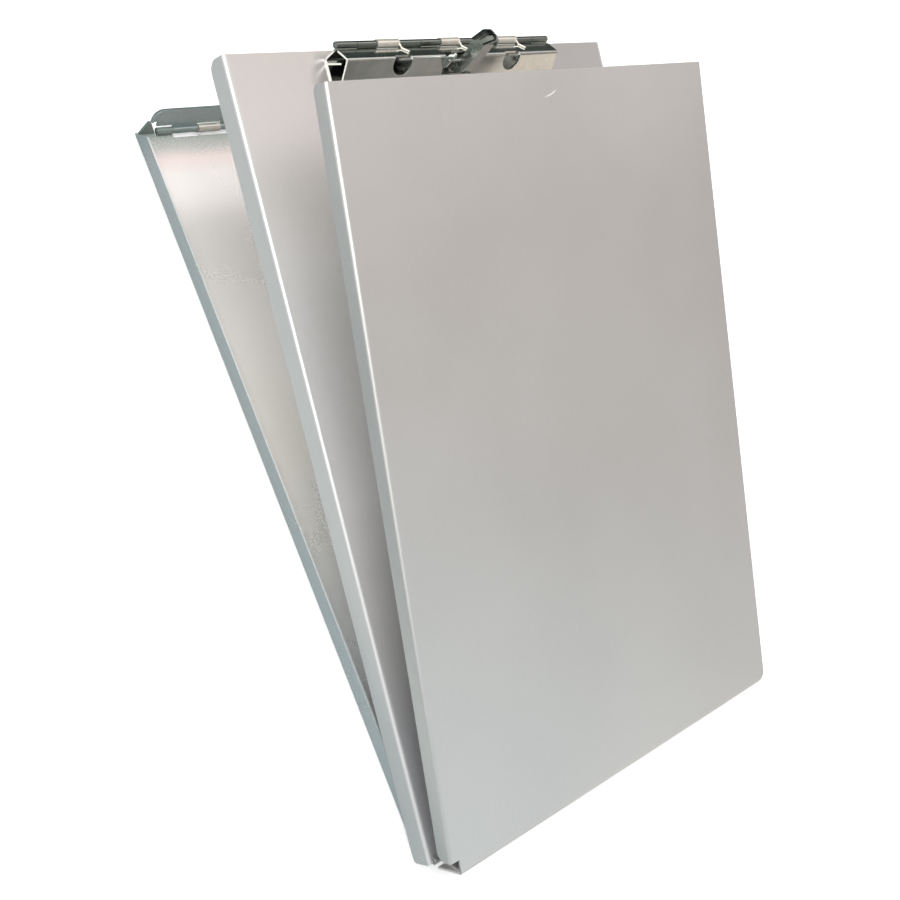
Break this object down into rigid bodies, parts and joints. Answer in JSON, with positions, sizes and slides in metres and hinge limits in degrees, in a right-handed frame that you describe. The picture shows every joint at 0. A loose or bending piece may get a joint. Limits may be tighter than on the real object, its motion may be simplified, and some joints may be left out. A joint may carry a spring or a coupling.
{
  "type": "form-holder clipboard",
  "caption": "Aluminium form-holder clipboard with two hinged storage trays, a hinged writing plate, a sprung top flap and a sprung steel clip with a lever.",
  "frame": {"origin": "centre of the rear tray's flat back, which rests on the table", "axes": "+Y up the holder towards the clip, +Z out of the writing side, +X across to the right"},
  "size_m": [0.235, 0.3543, 0.1309],
  "materials": {
    "tray_sheet": "satin",
    "hinge_leaf": "satin",
    "pin_steel": "satin",
    "rivet_metal": "satin",
    "clip_plate": "gloss",
    "spring_wire": "satin",
    "flap_sheet": "satin"
  },
  "bodies": {
    "base": {"rear_tray": "tray_sheet", "box_hinge_pin": "pin_steel", "flap_hinge_pin": "pin_steel"},
    "flap": {"top_flap": "flap_sheet", "flap_spring_left": "spring_wire", "flap_spring_right": "spring_wire"},
    "lid": {"lid_tray": "tray_sheet", "clip_base": "clip_plate", "clip_rivets": "rivet_metal", "clip_hinge_pin": "pin_steel", "lid_hinge_leaf": "hinge_leaf", "lid_hinge_rivets": "rivet_metal", "plate_hinge_pin": "pin_steel"},
    "plate": {"front_plate": "tray_sheet", "plate_hinge_leaf": "hinge_leaf", "plate_hinge_rivets": "rivet_metal"},
    "jaw": {"clip_jaw": "clip_plate", "lever_pin": "pin_steel", "clip_spring_left": "spring_wire", "clip_spring_centre": "spring_wire", "clip_spring_right": "spring_wire"},
    "lever": {"clip_lever": "clip_plate"}
  },
  "joints": [
    {"name": "lid_hinge", "type": "hinge", "parent": "base", "child": "lid", "pos_m": [0, -0.1692, 0.0018], "axis": [1, 0, 0], "range_deg": [-12.05, 70]},
    {"name": "plate_hinge", "type": "hinge", "parent": "lid", "child": "plate", "pos_m": [0, -0.17111, 0.01172], "axis": [1, 0, 0], "range_deg": [-7.89, 80]},
    {"name": "flap_hinge", "type": "hinge", "parent": "base", "child": "flap", "pos_m": [0, 0.1695, 0.0021], "axis": [-1, 0, 0], "range_deg": [-8.5, 70], "stiffness_Nm_per_rad": 0.03, "deforming": ["flap_spring_left", "flap_spring_right"]},
    {"name": "jaw_hinge", "type": "hinge", "parent": "lid", "child": "jaw", "pos_m": [0, 0.15959, 0.08927], "axis": [-1, 0, 0], "range_deg": [0, 15], "stiffness_Nm_per_rad": 1.5, "springref_deg": -20.05, "deforming": ["clip_spring_left", "clip_spring_centre", "clip_spring_right"]},
    {"name": "lever_hinge", "type": "hinge", "parent": "jaw", "child": "lever", "pos_m": [0, 0.14806, 0.09345], "axis": [1, 0, 0], "range_deg": [0, 43.95]}
  ],
  "couplings": [
    {"joint": "lever_hinge", "follows": "jaw_hinge", "ratio": 2.93}
  ]
}
